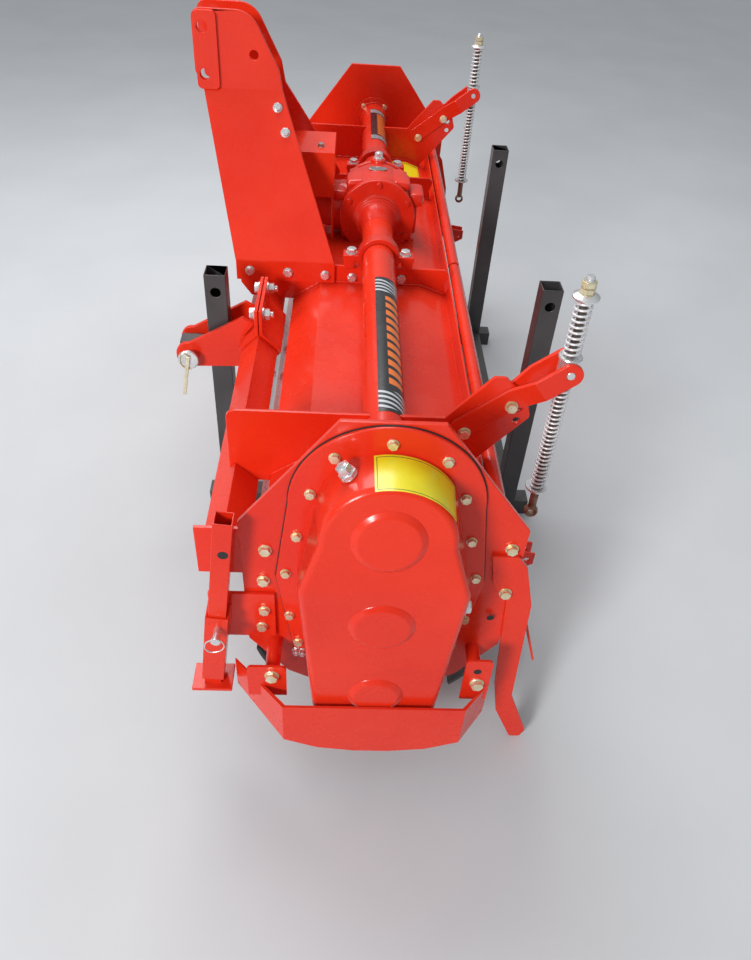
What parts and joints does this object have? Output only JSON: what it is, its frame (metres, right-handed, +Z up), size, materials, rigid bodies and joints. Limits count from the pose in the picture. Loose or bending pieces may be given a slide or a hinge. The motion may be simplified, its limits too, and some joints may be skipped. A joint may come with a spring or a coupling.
{
  "type": "tractor-mounted rotary tiller",
  "caption": "Rotary tiller for a tractor's three-point hitch: offset gearbox, side gear case, bladed rotor, hinged rear board and spring rods, on a square-tube stand.",
  "frame": {"origin": "under the middle of the machine's box, on the floor", "axes": "+X along the rotor to the machine's right-hand side, +Y forwards to the tractor, +Z up"},
  "size_m": [2.177, 0.956, 1.172],
  "materials": {
    "red_paint": "gloss red-orange paint",
    "zinc_plate": "bright zinc plate",
    "charcoal_paint": "satin charcoal paint",
    "rotor_paint": "red paint on the tube, dark blades"
  },
  "bodies": {
    "frame": {"side_plate_left": "red_paint", "side_plate_right": "red_paint", "hood": "red_paint", "front_beam": "red_paint", "outer_support_left": "red_paint", "outer_support_right": "red_paint", "centre_support_left": "red_paint", "centre_support_right": "red_paint", "tube_clamp_left": "red_paint", "tube_clamp_right": "red_paint", "axle_tube_left": "red_paint", "axle_tube_right": "red_paint", "gearbox_housing": "red_paint", "shaft_shield": "red_paint", "mast_plate_left": "red_paint", "mast_plate_right": "red_paint", "mast_web": "red_paint", "hitch_bracket_left": "red_paint", "hitch_clamp_left": "red_paint", "hitch_pin_left": "zinc_plate", "hitch_bracket_right": "red_paint", "hitch_clamp_right": "red_paint", "hitch_pin_right": "zinc_plate", "stand_frame_left": "charcoal_paint", "stand_frame_right": "charcoal_paint", "stand_ties": "charcoal_paint", "gear_case_cover": "red_paint", "case_guard": "red_paint", "runner_left": "red_paint", "runner_right": "red_paint", "leg_holder_left": "red_paint", "leg_holder_right": "red_paint", "hinge_rod": "zinc_plate", "spring_levers_left": "red_paint", "spring_levers_right": "red_paint", "rotor_bearing_right": "red_paint"},
    "rotor": {"rotor": "rotor_paint"},
    "input_shaft": {"input_shaft": "zinc_plate"},
    "trailing_board": {"trailing_board": "red_paint"},
    "parking_leg_left": {"parking_leg_left": "red_paint"},
    "parking_leg_right": {"parking_leg_right": "red_paint"},
    "spring_rod_left": {"spring_rod_left": "zinc_plate", "springs_left": "zinc_plate"},
    "spring_rod_right": {"spring_rod_right": "zinc_plate", "springs_right": "zinc_plate"}
  },
  "joints": [
    {"name": "rotor_spin", "type": "hinge", "parent": "frame", "child": "rotor", "pos_m": [0.0355, -0.007, 0.31], "axis": [1, 0, 0], "continuous": true},
    {"name": "input_spin", "type": "hinge", "parent": "frame", "child": "input_shaft", "pos_m": [0.2455, -0.007, 0.7], "axis": [0, 1, 0], "continuous": true},
    {"name": "board_swing", "type": "hinge", "parent": "frame", "child": "trailing_board", "pos_m": [0.0355, -0.213, 0.632], "axis": [-1, 0, 0], "range_deg": [0, 6]},
    {"name": "leg_slide_left", "type": "slide", "parent": "frame", "child": "parking_leg_left", "axis": [0, 0.1132, -0.9936], "range_m": [0, 0.231]},
    {"name": "leg_slide_right", "type": "slide", "parent": "frame", "child": "parking_leg_right", "axis": [0, 0.1132, -0.9936], "range_m": [0, 0.231]},
    {"name": "rod_swing_left", "type": "hinge", "parent": "frame", "child": "spring_rod_left", "pos_m": [-0.7545, -0.317, 0.848], "axis": [-1, 0, 0], "range_deg": [-0.8, 35]},
    {"name": "rod_swing_right", "type": "hinge", "parent": "frame", "child": "spring_rod_right", "pos_m": [0.8255, -0.317, 0.848], "axis": [-1, 0, 0], "range_deg": [-0.8, 35]}
  ],
  "couplings": [
    {"joint": "input_spin", "follows": "rotor_spin", "ratio": 2.5714}
  ]
}
